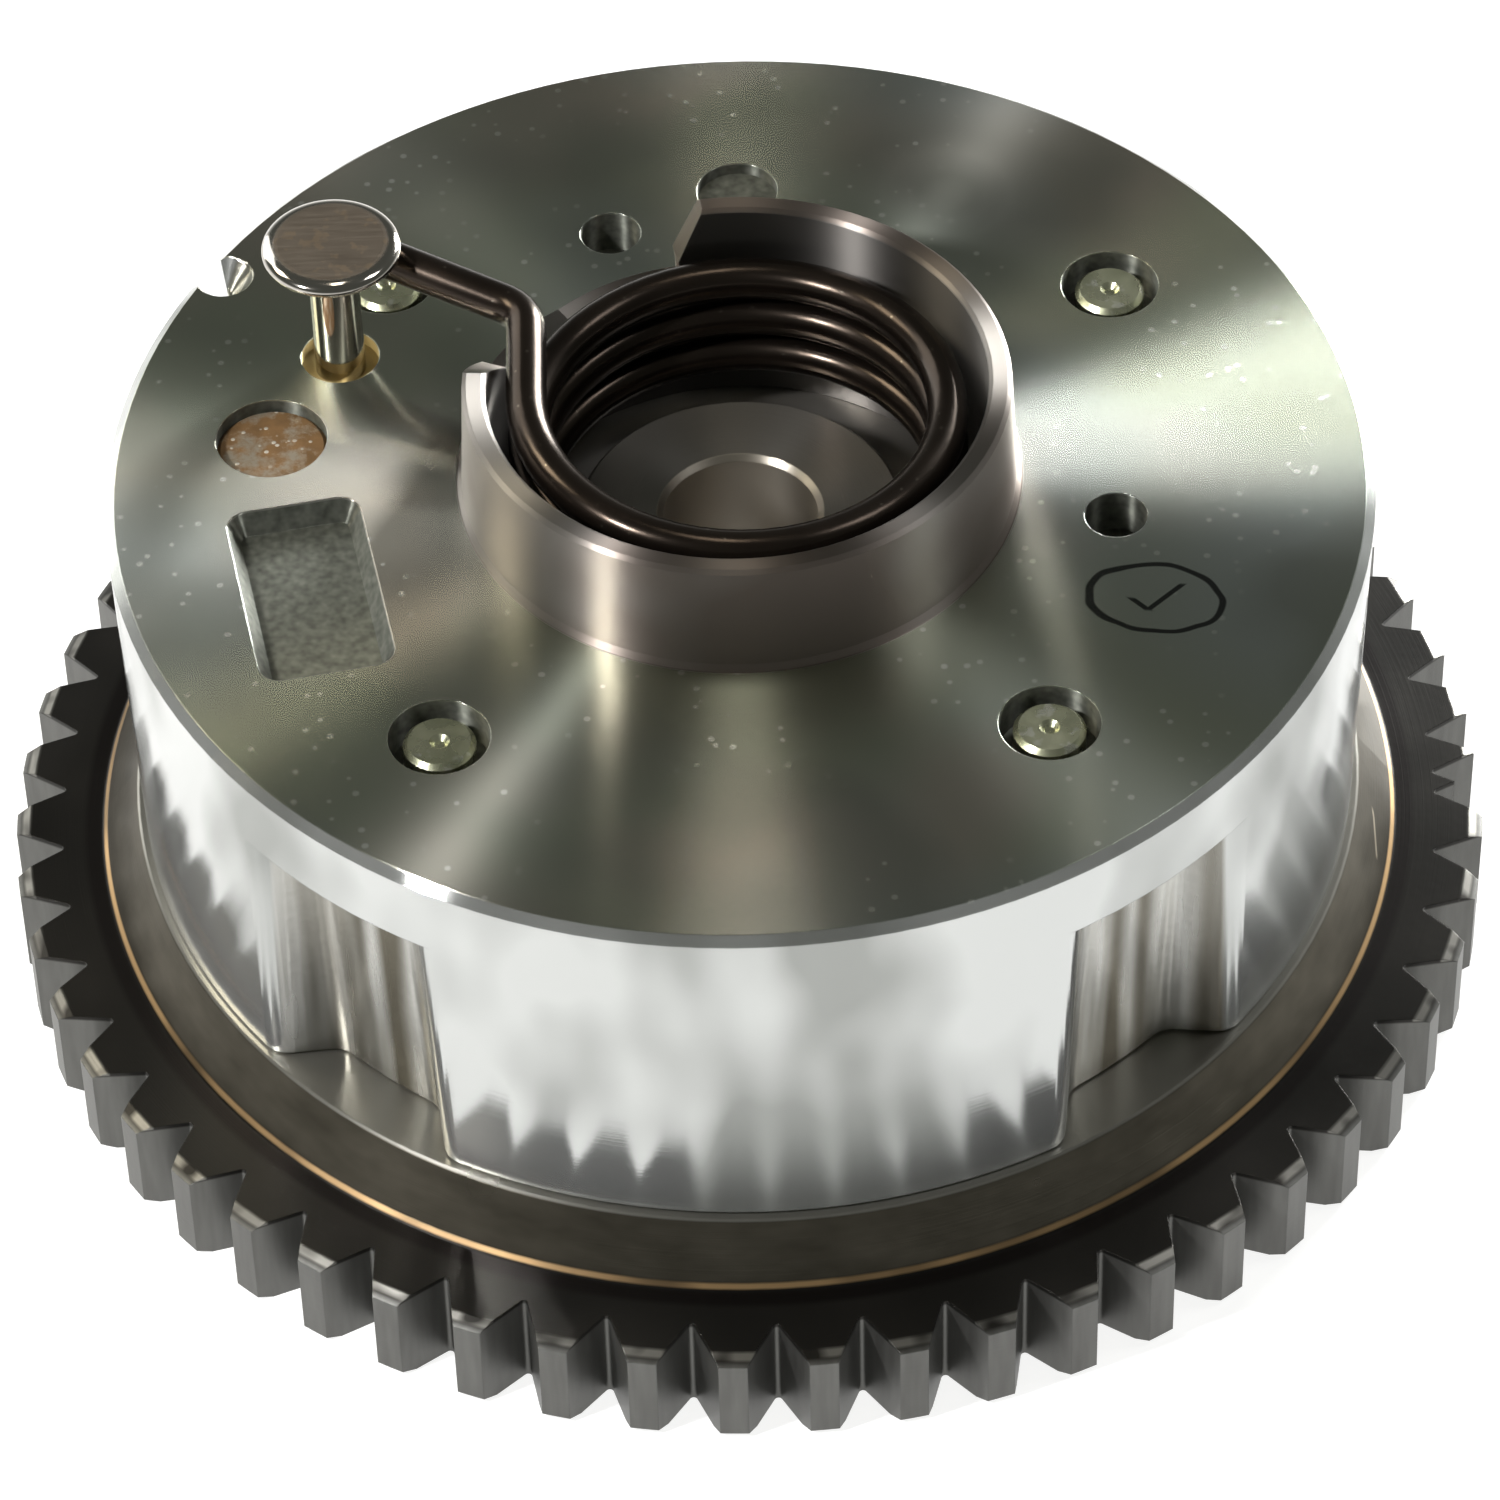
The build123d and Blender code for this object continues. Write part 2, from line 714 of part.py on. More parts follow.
# Lock pin, just short of the bush: oil pushes it back against its spring
with BuildPart() as lock_pin:
    with BuildSketch(level(pin_shoulder_z - pin_body_length)):
        with Locations(pin_place):
            Circle(pin_body_radius)
    extrude(amount=pin_body_length)
    with BuildSketch(level(pin_shoulder_z)):
        with Locations(pin_place):
            Circle(pin_nose_radius)
    extrude(amount=pin_nose_length)
    tip = lock_pin.edges().filter_by(GeomType.CIRCLE).sort_by(Axis.Z)[-1]
    chamfer(tip, length=pin_nose_chamfer)
    with BuildSketch(level(pin_shoulder_z - pin_body_length)):
        with Locations(pin_place):
            Circle(pin_hollow_radius)
    extrude(amount=pin_hollow_depth, mode=Mode.SUBTRACT)
save(lock_pin, "lock_pin")

with BuildPart() as lock_pin_cap:
    with BuildSketch(level(rotor_rear_z)):
        with Locations(pin_place):
            Circle(pin_body_radius + pin_running_gap)
            Circle(cap_vent_radius, mode=Mode.SUBTRACT)
    extrude(amount=cap_thickness)
save(lock_pin_cap, "lock_pin_cap")

with BuildPart() as lock_pin_bush:
    with BuildSketch(level(chamber_floor_z)):
        with Locations(pin_place):
            Circle(bush_outer_radius)
    extrude(amount=front_wall - bush_recess)
    outer_end = lock_pin_bush.edges().filter_by(GeomType.CIRCLE).sort_by(Axis.Z)[-1]
    chamfer(outer_end, length=bush_edge)
    with BuildSketch(level(chamber_floor_z)):
        with Locations(pin_place):
            Circle(pin_nose_radius + bush_bore_gap)
    extrude(amount=bush_bore_depth, mode=Mode.SUBTRACT)
save(lock_pin_bush, "lock_pin_bush")

# Coil spring between the cap and the bottom of the pin's hollow
pin_spring_bottom = rotor_rear_z + cap_thickness + pin_spring_end_gap + pin_spring_wire
pin_spring_top = (
    pin_shoulder_z - pin_body_length + pin_hollow_depth - pin_spring_end_gap - pin_spring_wire
)
with BuildPart() as lock_pin_spring:
    with BuildLine():
        turns = Helix(
            pitch=(pin_spring_top - pin_spring_bottom) / pin_spring_turns,
            height=pin_spring_top - pin_spring_bottom,
            radius=pin_spring_radius,
            center=(*pin_place, pin_spring_bottom),
        )
    with BuildSketch(Plane(turns @ 0, z_dir=turns % 0)):
        Circle(pin_spring_wire)
    sweep(path=turns, is_frenet=True)
save(lock_pin_spring, "lock_pin_spring")

# Headed post that holds the arm of the bias spring
with BuildPart() as spring_post:
    with BuildSketch(level(face_z - post_depth)):
        with Locations(post_place):
            Circle(post_shank_radius)
    extrude(amount=post_depth + post_head_bottom)
    with BuildSketch(Plane.XZ) as head:
        with BuildLine():
            rounded_edge = EllipticalCenterArc(
                (post_head_flat, face_z + post_head_bottom + post_head_thickness / 2),
                post_head_radius - post_head_flat,
                post_head_thickness / 2,
                start_angle=-90,
                arc_size=180,
            )
            Polyline(
                rounded_edge @ 1,
                (0, face_z + post_head_bottom + post_head_thickness),
                (0, face_z + post_head_bottom),
                rounded_edge @ 0,
            )
        make_face()
    add(revolve(head.sketch, axis=Axis.Z, mode=Mode.PRIVATE).moved(Location(post_place)))
save(spring_post, "spring_post")

# Bias spring: leg in the rotor, coil in the collar, arm hooked behind the post
hook_radius = post_shank_radius + wire_radius + hook_gap
beside_post = polar(hook_radius, arm_direction - 90)
arm_end_x = post_place[0] + beside_post[0]
arm_end_y = post_place[1] + beside_post[1]
corner_y = arm_end_y + (arm_start[0] - arm_end_x) * tan(radians(arm_direction))
arm_z = arm_start[2] + corner_y * arm_slope
hook_points = [
    (
        post_place[0] + hook_radius * cos(radians(arm_direction - 90 + turn)),
        post_place[1] + hook_radius * sin(radians(arm_direction - 90 + turn)),
        arm_z,
    )
    for turn in (0, hook_sweep / 2, hook_sweep)
]
with BuildPart() as bias_spring:
    with BuildLine() as path:
        quarter_turn = Helix(
            pitch=coil_pitch,
            height=coil_pitch / 4,
            radius=coil_radius,
            lefthand=True,
            mode=Mode.PRIVATE,
        )
        for number in range(round(4 * coil_turns)):
            turned_on = quarter_turn.rotate(Axis.Z, 180 + 360 * coil_turns - 90 * number)
            add(turned_on.translate((0, 0, coil_bottom_z + number * coil_pitch / 4)))
        leg_top = (leg_x, leg_y, coil_bottom_z - leg_bend_radius * cos(radians(helix_angle)))
        bend_mid_turn = radians((90 + helix_angle) / 2)
        bend_mid = (
            leg_x - leg_bend_radius * (1 - cos(bend_mid_turn - radians(helix_angle))),
            leg_y,
            leg_top[2] + leg_bend_radius * sin(bend_mid_turn - radians(helix_angle)),
        )
        Line((leg_x, leg_y, rotor_front_z - leg_reach), leg_top)
        ThreePointArc(leg_top, bend_mid, (0, leg_y, coil_bottom_z))
        FilletPolyline(
            arm_start,
            (arm_start[0], corner_y, arm_z),
            hook_points[0],
            radius=arm_bend_radius,
        )
        ThreePointArc(*hook_points)
    with BuildSketch(level(rotor_front_z - leg_reach)):
        with Locations((leg_x, leg_y)):
            Circle(wire_radius)
    sweep(path=path.wire())
save(bias_spring, "bias_spring")

# Four screws, with socket heads sunk in the sprocket
for number, angle in enumerate(screw_angles, start=1):
    place = polar(screw_orbit, angle)
    screw_end_z = face_z - screw_end_depth
    with BuildPart() as screw:
        with BuildSketch(level(head_sink)):
            with Locations(place):
                Circle(head_radius)
        extrude(amount=head_height)
        rear_edge = screw.edges().filter_by(GeomType.CIRCLE).sort_by(Axis.Z)[0]
        chamfer(rear_edge, length=head_edge)
        with BuildSketch(level(head_sink + head_height)):
            with Locations(place):
                Circle(screw_radius)
        extrude(amount=screw_end_z - head_sink - head_height)
        front_edge = screw.edges().filter_by(GeomType.CIRCLE).sort_by(Axis.Z)[-1]
        chamfer(front_edge, length=screw_end_chamfer)
        with BuildSketch(level(head_sink)):
            with Locations(place):
                RegularPolygon(socket_across_flats / 2, 6, major_radius=False)
        extrude(amount=socket_depth, mode=Mode.SUBTRACT)
        with BuildSketch(level(screw_end_z)):
            with Locations(place):
                Circle(screw_dimple_radius)
        extrude(amount=-screw_dimple_radius / 2, taper=45, mode=Mode.SUBTRACT)
    save(screw, f"screw_{number}")
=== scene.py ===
"""Looks of the cam phaser: camera, light, floor, materials and the springs that bend.

Metres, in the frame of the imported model: Z runs along the camshaft axis and
the sprocket's rear face stands on the floor at zero. Sizes of the springs
repeat those of the solids, so that the bending pieces lie in the same place.
"""

from math import ceil, cos, pi, radians, sin, tan
from types import SimpleNamespace

import bpy
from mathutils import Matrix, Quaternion, Vector


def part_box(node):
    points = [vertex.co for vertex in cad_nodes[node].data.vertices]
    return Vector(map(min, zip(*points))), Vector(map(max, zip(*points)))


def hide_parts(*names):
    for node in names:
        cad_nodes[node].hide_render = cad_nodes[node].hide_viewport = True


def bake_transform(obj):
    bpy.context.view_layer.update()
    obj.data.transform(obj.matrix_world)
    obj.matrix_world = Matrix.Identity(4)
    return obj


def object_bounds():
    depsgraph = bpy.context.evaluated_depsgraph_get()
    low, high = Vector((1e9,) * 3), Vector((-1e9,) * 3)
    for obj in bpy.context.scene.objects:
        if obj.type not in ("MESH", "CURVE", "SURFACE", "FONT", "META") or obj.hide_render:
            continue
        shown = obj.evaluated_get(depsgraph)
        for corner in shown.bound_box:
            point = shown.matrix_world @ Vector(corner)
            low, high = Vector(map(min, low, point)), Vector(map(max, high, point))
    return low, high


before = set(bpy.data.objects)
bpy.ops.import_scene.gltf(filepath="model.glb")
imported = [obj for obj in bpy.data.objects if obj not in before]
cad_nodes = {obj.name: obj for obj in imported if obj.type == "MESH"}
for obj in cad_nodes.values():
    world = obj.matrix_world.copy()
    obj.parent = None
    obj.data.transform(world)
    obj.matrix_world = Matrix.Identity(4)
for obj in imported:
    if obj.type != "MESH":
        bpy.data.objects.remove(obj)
cad_low, cad_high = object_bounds()
mm = 0.001


def polar(radius, degrees):
    """A point at a radius and an angle round the axis."""
    return Vector((radius * cos(radians(degrees)), radius * sin(radians(degrees)), 0))


# Levels, and radii from the axis, that the materials tell apart
hub_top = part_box("sprocket")[1].z
post_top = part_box("spring_post")[1].z
face_z = hub_top + 28.5 * mm
sunk_z = face_z - 0.1 * mm  # what lies lower is no longer the turned face
rim_z = face_z - 6.2 * mm  # the side pockets end here, under the rim
ring_top = 8.1 * mm
body_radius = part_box("housing")[1].x
pocket_inner_radius = 39.5 * mm
recess_inner_radius = 20.6 * mm
recess_outer_radius = 41.5 * mm
unturned_radius = 43 * mm
collar_radius = 19.9 * mm
well_radius = 17.45 * mm
bore_edge_radius = 5.95 * mm
hub_foot_radius = 47.05 * mm
band_inner_radius = 47.5 * mm
band_outer_radius = 48.7 * mm
tooth_root_radius = 50.4 * mm
tip_edge_radius = 52.7 * mm

# Marks on the housing and the sprocket
ink_place = Vector((28.36 * mm, -13.67 * mm, 0))
ink_lean = radians(-8)
ink_half_length = 4.7 * mm
ink_half_width = 3.4 * mm
# A round dark patch on the front face is painted shade
painted_shade_place = Vector((15.7 * mm, 28.4 * mm, 0))
painted_shade_radius = 3.4 * mm
brass_radius = 3.9 * mm
scratch_from, scratch_to = -12.1, -7.3  # degrees round the hub
scratch_level = 12.02 * mm
scratch_rise = 0.208 * mm  # for each degree
scratch_half_width = 0.09 * mm

# Bias spring
wire_radius = 1.43 * mm
wire_sides = 28
coil_radius = 14.65 * mm
coil_pitch = 3.5 * mm
coil_turns = 3.25
coil_steps_per_turn = 60
coil_steps = ceil(coil_turns * coil_steps_per_turn)
coil_start = 1.5 * pi
arm_z = face_z + 7.5 * mm
coil_bottom = arm_z - coil_pitch * coil_turns
leg_bottom = face_z - 11.35 * mm
leg_bend = 2.6 * mm
arm_angle = radians(148.5)
arm_bend = 3.4 * mm
bend_steps = 10
post_place = polar(31.1 * mm, 155.4)
hook_radius = 3.33 * mm
hook_sweep = radians(95)
hook_steps = 16

# Lock pin spring
pin_place = polar(33.3 * mm, 172)
pin_wire = 0.25 * mm
pin_wire_sides = 10
pin_coil_radius = 2.1 * mm
pin_coil_turns = 7
pin_coil_steps_per_turn = 24
pin_coil_steps = pin_coil_turns * pin_coil_steps_per_turn
pin_coil_bottom = 14.65 * mm
pin_coil_top = 24.0 * mm

# Camera, fitted to the tooth, rim, collar and bore edges in the photograph
camera_place = (0, -351.86 * mm, face_z + 339.93 * mm)
camera_forward = Vector((0.0004, 0.690773, -0.723071))
camera_roll = radians(-1.584)
lens_mm = 167.2
sensor_mm = 36

# Soft boxes: name, azimuth and elevation in degrees, distance, width and height in metres, brightness, colour
soft_boxes = (
    ("bright_box", 52, 13.5, 0.6, 0.2, 0.25, 48, (0.99, 1, 0.99)),
    ("left_box", 136, 20, 0.9, 0.42, 0.78, 2.6, (1, 1, 0.97)),
    ("right_box", 6, 58.5, 0.8, 0.16, 0.2, 8, (1, 1, 1)),
    ("lamp", 212, 43.5, 0.4, 0.02, 0.04, 560, (1, 1, 1)),
    ("strip", 94, 83, 0.9, 0.1, 0.2, 8.5, (1, 0.93, 0.8)),
    ("warm_box", 160, 42, 0.35, 0.09, 0.09, 11, (1, 0.92, 0.74)),
)

floor_half = 3
floor_glow = 0.88


def make_camera():
    """The photograph's view: square frame, no shift, no blur."""
    data = bpy.data.cameras.new("camera")
    data.lens = lens_mm
    data.sensor_width = sensor_mm
    data.clip_start = 0.01
    data.clip_end = 20
    camera = bpy.data.objects.new("camera", data)
    camera.rotation_mode = "QUATERNION"
    aim = camera_forward.to_track_quat("-Z", "Y")
    camera.rotation_quaternion = aim @ Quaternion((0, 0, 1), camera_roll)
    camera.location = camera_place
    bpy.context.scene.collection.objects.link(camera)
    bpy.context.scene.camera = camera


class Nodes:
    """A node tree, with short calls for the nodes that are used often."""

    def __init__(self, tree):
        self.tree = tree

    def put(self, socket, value):
        """Link a socket, or set it."""
        if isinstance(value, bpy.types.NodeSocket):
            self.tree.links.new(value, socket)
        elif isinstance(value, tuple) and socket.type == "RGBA":
            socket.default_value = (*value, 1)
        else:
            socket.default_value = value

    def node(self, kind, settings=None, **sockets):
        """A node with its settings made and its sockets linked or set."""
        made = self.tree.nodes.new(kind)
        for name, value in (settings or {}).items():
            setattr(made, name, value)
        for name, value in sockets.items():
            self.put(made.inputs[name.replace("_", " ")], value)
        return made

    def math(self, operation, first, second=0.0, clamp=False):
        """One Math node."""
        made = self.node("ShaderNodeMath", {"operation": operation, "use_clamp": clamp})
        self.put(made.inputs[0], first)
        self.put(made.inputs[1], second)
        return made.outputs[0]

    def times(self, *values):
        """The product of several numbers."""
        result = values[0]
        for value in values[1:]:
            result = self.math("MULTIPLY", result, value)
        return result

    def plus(self, *values):
        """The sum of several numbers."""
        result = values[0]
        for value in values[1:]:
            result = self.math("ADD", result, value)
        return result

    def larger(self, first, second):
        """The larger of two numbers: for masks, both areas together."""
        return self.math("MAXIMUM", first, second)

    def length(self, first, second):
        """The length of the diagonal over two numbers."""
        return self.math("SQRT", self.plus(self.times(first, first), self.times(second, second)))

    def above(self, value, edge, blur=0.1 * mm):
        """0 below an edge and 1 above it, over a blur."""
        past = self.math("SUBTRACT", value, edge - blur / 2)
        return self.math("MULTIPLY", past, 1 / blur, clamp=True)

    def below(self, value, edge, blur=0.1 * mm):
        """1 below an edge and 0 above it, over a blur."""
        return self.math("SUBTRACT", 1.0, self.above(value, edge, blur))

    def between(self, value, low, high, blur=0.1 * mm):
        """1 between two edges and 0 outside, over a blur."""
        return self.times(self.above(value, low, blur), self.below(value, high, blur))

    def mixed(self, mask, first, second, kind):
        """Two colours or numbers mixed by a mask."""
        made = self.node("ShaderNodeMix", {"data_type": kind})
        sockets = {socket.identifier: socket for socket in made.inputs}
        ending = {"RGBA": "Color", "FLOAT": "Float"}[kind]
        self.put(sockets["Factor_Float"], mask)
        self.put(sockets["A_" + ending], first)
        self.put(sockets["B_" + ending], second)
        return next(socket for socket in made.outputs if socket.identifier == "Result_" + ending)

    def mix(self, mask, first, second):
        """Two colours mixed by a mask."""
        return self.mixed(mask, first, second, "RGBA")

    def blend(self, mask, first, second):
        """Two numbers mixed by a mask."""
        return self.mixed(mask, first, second, "FLOAT")

    def layered(self, colour, *layers):
        """Colours laid over a first one in turn, each through its mask."""
        for mask, coat in layers:
            colour = self.mix(mask, colour, coat)
        return colour

    def spread(self, value, low, high):
        """A number from 0 to 1 spread between two others."""
        return self.plus(self.times(value, high - low), low)


class Shader(Nodes):
    """A material with its Principled shader and the object's own coordinates."""

    def __init__(self, name, metallic=1.0):
        self.material = bpy.data.materials.new(name)
        self.material.use_nodes = True
        super().__init__(self.material.node_tree)
        self.bsdf = self.tree.nodes["Principled BSDF"]
        self.set("Metallic", metallic)
        self.place = self.node("ShaderNodeTexCoord").outputs["Object"]
        self.x, self.y, self.z = self.node("ShaderNodeSeparateXYZ", Vector=self.place).outputs
        self.radius = self.length(self.x, self.y)

    def set(self, name, value):
        """Link or set a socket of the shader itself."""
        self.put(self.bsdf.inputs[name], value)

    def noise(self, scale, detail=2.0, roughness=0.5, vector=None):
        """Noise on the object's own coordinates, or on others; the scale counts waves in a metre."""
        made = self.node("ShaderNodeTexNoise", Vector=vector or self.place, Scale=scale,
                         Detail=detail, Roughness=roughness)
        return made.outputs["Fac"]

    def stretched(self, scales, detail, roughness):
        """Noise with a scale for each axis."""
        vector = self.node("ShaderNodeMapping", Vector=self.place, Scale=scales).outputs[0]
        return self.noise(1, detail, roughness, vector)

    def wound(self, along, across, detail, roughness):
        """Noise wound round the axis: one scale for the angle, another for radius and height."""
        turn = self.times(self.math("ARCTAN2", self.y, self.x), along)
        out = self.times(self.radius, across)
        up = self.times(self.z, across)
        vector = self.node("ShaderNodeCombineXYZ", X=out, Y=turn, Z=up).outputs[0]
        return self.noise(1, detail, roughness, vector)

    def patches(self, scale, edge, blur, detail=2.0, roughness=0.5):
        """Mask of the places where noise lies above an edge."""
        return self.above(self.noise(scale, detail, roughness), edge, blur)

    def mottled(self, scale, first, second, detail=2.0):
        """Two colours mixed by noise."""
        return self.mix(self.noise(scale, detail), first, second)

    def specks(self, scale, size):
        """Small round specks: 1 inside, 0 outside."""
        made = self.node("ShaderNodeTexVoronoi", Vector=self.place, Scale=scale)
        return self.below(made.outputs["Distance"], size, size * 0.4)

    def reach(self, place):
        """Distance from an upright axis through a place."""
        return self.length(self.plus(self.x, -place.x), self.plus(self.y, -place.y))

    def bump(self, height, distance, strength, normal=None):
        """Bump from a height."""
        made = self.node("ShaderNodeBump", Height=height, Distance=distance, Strength=strength)
        if normal is not None:
            self.put(made.inputs["Normal"], normal)
        return made.outputs["Normal"]

    def soft_edges(self, radius):
        """Normals rounded at sharp edges."""
        return self.node("ShaderNodeBevel", {"samples": 2}, Radius=radius).outputs["Normal"]

    def turned(self, anisotropy):
        """Grooves that run round the axis."""
        tangent = self.node("ShaderNodeTangent", {"direction_type": "RADIAL", "axis": "Z"})
        quarter_turn = 0.25
        self.set("Tangent", tangent.outputs[0])
        self.set("Anisotropic", anisotropy)
        self.set("Anisotropic Rotation", quarter_turn)

    def finish(self, colour, roughness, normal):
        """Link what varies over the surface, and return the material."""
        self.set("Base Color", colour)
        self.set("Roughness", roughness)
        self.set("Normal", normal)
        return self.material


def ink_ring(s):
    """Mask of a hand-drawn oval on the front face, with a small tick inside."""
    x = s.plus(s.x, -ink_place.x)
    y = s.plus(s.y, -ink_place.y)
    along = s.plus(s.times(x, cos(ink_lean)), s.times(y, sin(ink_lean)))
    across = s.plus(s.times(y, cos(ink_lean)), s.times(x, -sin(ink_lean)))

    def stroke(slope, shift, half_width, low, high):
        """A straight stroke that leans by a slope, between two places across the oval."""
        off_line = s.math("ABSOLUTE", s.plus(along, s.times(across, slope), shift))
        return s.times(s.below(off_line, half_width), s.between(across, low, high, blur=0.2 * mm))

    shake = s.times(s.plus(s.noise(330, detail=1.0), -0.5), 0.22)
    share = s.length(s.times(along, 1 / ink_half_length), s.times(across, 1 / ink_half_width))
    ring = s.between(s.plus(share, shake), 0.91, 1.03, blur=0.03)
    tick = s.larger(stroke(-0.8, -0.6 * mm, 0.24 * mm, -1.3 * mm, 1.5 * mm),
                    stroke(1.2, 1.9 * mm, 0.3 * mm, -1.3 * mm, -0.2 * mm))
    return s.times(s.larger(ring, tick), s.above(s.z, sunk_z))


def housing_areas(s):
    """Masks of the housing's areas."""
    side = s.times(s.above(s.radius, body_radius - 1.6 * mm, blur=0.2 * mm),
                   s.below(s.z, face_z - 0.05 * mm, blur=0.05 * mm))
    side_pockets = s.times(s.below(s.z, rim_z + 0.03 * mm, blur=0.06 * mm),
                           s.between(s.radius, pocket_inner_radius, body_radius - 0.95 * mm, blur=0.3 * mm))
    sunk = s.times(s.between(s.z, rim_z + 0.5 * mm, sunk_z),
                   s.between(s.radius, recess_inner_radius, recess_outer_radius, blur=0.3 * mm))
    return SimpleNamespace(
        face=s.above(s.z, sunk_z),
        side=side,
        sunk=sunk,
        cast=s.larger(side_pockets, sunk),
        collar=s.below(s.radius, collar_radius),
        well=s.below(s.radius, well_radius + 0.05 * mm),
    )


def housing_material():
    """Turned face and rim, cast pockets, a darker collar."""
    s = Shader("turned_aluminium")
    s.turned(1.0)
    area = housing_areas(s)
    broad = s.noise(34)
    smears = s.patches(42, 0.54, 0.12, roughness=0.6)
    # Dark vertical streaks on the rim's outer wall are painted reflection; the roughness follows them too
    painted_reflection_streaks = s.above(s.stretched((75, 75, 38), 2.0, 0.55), 0.5, blur=0.2)
    streaks = s.stretched((900, 900, 70), 1.0, 0.6)
    dust = s.times(s.specks(650, 0.16), s.patches(55, 0.49, 0.1, detail=1.0))
    bars = s.above(s.stretched((330, 330, 12), 1.0, 0.5), 0.5, blur=0.2)
    painted_shade_patch = s.times(s.below(s.reach(painted_shade_place), painted_shade_radius, blur=2.6 * mm), s.above(broad, 0.4, blur=0.3))
    brass = s.times(s.below(s.reach(post_place), brass_radius, blur=0.3 * mm), area.sunk)

    olive, warm, cool = (0.50, 0.53, 0.43), (0.58, 0.54, 0.47), (0.55, 0.59, 0.57)
    side_colour, painted_dark_reflection = (0.60, 0.61, 0.60), (0.35, 0.36, 0.345)
    cast_grey, cast_bright, cast_shade = (0.42, 0.41, 0.37), (0.75, 0.75, 0.72), (0.17, 0.155, 0.12)
    colour = s.layered(
        s.mix(s.above(broad, 0.5, blur=0.14), olive, warm),
        (s.patches(24, 0.54, 0.16), cool),
        (s.times(smears, 0.45), (0.32, 0.33, 0.29)),
        # Rim's outer wall: its own grey, with dark streaks of painted reflection
        (area.side, s.mix(painted_reflection_streaks, side_colour, painted_dark_reflection)),
        (s.times(dust, area.face, 0.55), (0.95, 0.95, 0.9)),
        (area.cast, s.mix(bars, cast_shade, s.mix(streaks, cast_grey, cast_bright))),
        # Recess floors: mottled cast grain, darkened further as painted shade in the pockets and counterbores
        (area.sunk, s.mottled(1500, (0.04, 0.045, 0.035), (0.23, 0.235, 0.20), detail=1.0)),
        (area.collar, s.mix(smears, (0.20, 0.17, 0.15), (0.29, 0.27, 0.25))),
        (area.well, (0.16, 0.15, 0.14)),
        (s.times(brass, 0.8), (0.62, 0.48, 0.2)),
        # Painted shade: a round dark patch with a ragged edge
        (s.times(painted_shade_patch, 0.5), (0.12, 0.13, 0.1)),
        (s.times(ink_ring(s), 0.9), (0.025, 0.025, 0.027)),
    )
    s.set("Metallic", s.plus(1.0, s.times(area.sunk, -0.35), s.times(area.side, -0.2)))

    roughness = s.blend(area.side, s.spread(broad, 0.2, 0.27), s.spread(painted_reflection_streaks, 0.07, 0.2))
    roughness = s.blend(area.cast, roughness, s.spread(streaks, 0.16, 0.34))
    roughness = s.blend(area.sunk, roughness, 0.5)
    roughness = s.blend(area.collar, roughness, 0.4)
    rings = s.wound(3, 12000, 1.0, 0.7)
    unturned = s.times(s.below(s.z, sunk_z), s.below(s.radius, unturned_radius, blur=0.2 * mm))
    cast_grain = s.times(s.noise(1100, detail=1.0), unturned)
    height = s.plus(s.times(rings, 0.3), s.times(cast_grain, 1.8))
    return s.finish(colour, roughness, s.bump(height, 0.015 * mm, 0.6, s.soft_edges(0.12 * mm)))


def sprocket_areas(s):
    """Masks of the sprocket's areas."""
    on_ring = s.above(s.z, ring_top - 0.1 * mm)
    foot_line = s.between(s.radius, hub_foot_radius + 0.02 * mm, hub_foot_radius + 0.3 * mm, blur=0.12 * mm)
    return SimpleNamespace(
        hub_wall=s.times(s.above(s.z, ring_top + 0.3 * mm, blur=0.2 * mm),
                         s.below(s.radius, hub_foot_radius, blur=0.2 * mm)),
        foot_line=s.times(foot_line, on_ring),
        band=s.times(s.between(s.radius, band_inner_radius, band_outer_radius, blur=0.5 * mm), on_ring),
        teeth=s.times(s.above(s.radius, tooth_root_radius - 0.3 * mm, blur=0.2 * mm),
                      s.below(s.z, ring_top - 0.35 * mm, blur=0.2 * mm)),
        tip_edge=s.times(s.above(s.radius, tip_edge_radius, blur=0.15 * mm),
                         s.between(s.z, ring_top - 0.25 * mm, ring_top)),
        top_face=s.above(s.z, hub_top - 0.15 * mm),
    )


def hub_scratch(s):
    """Mask of a long thin scratch that climbs round the hub."""
    turn = s.times(s.math("ARCTAN2", s.y, s.x), 180 / pi)
    off_line = s.math("ABSOLUTE", s.plus(s.z, s.times(turn, -scratch_rise), -scratch_level))
    return s.times(s.below(off_line, scratch_half_width, blur=0.06 * mm),
                   s.between(turn, scratch_from, scratch_to, blur=0.5))


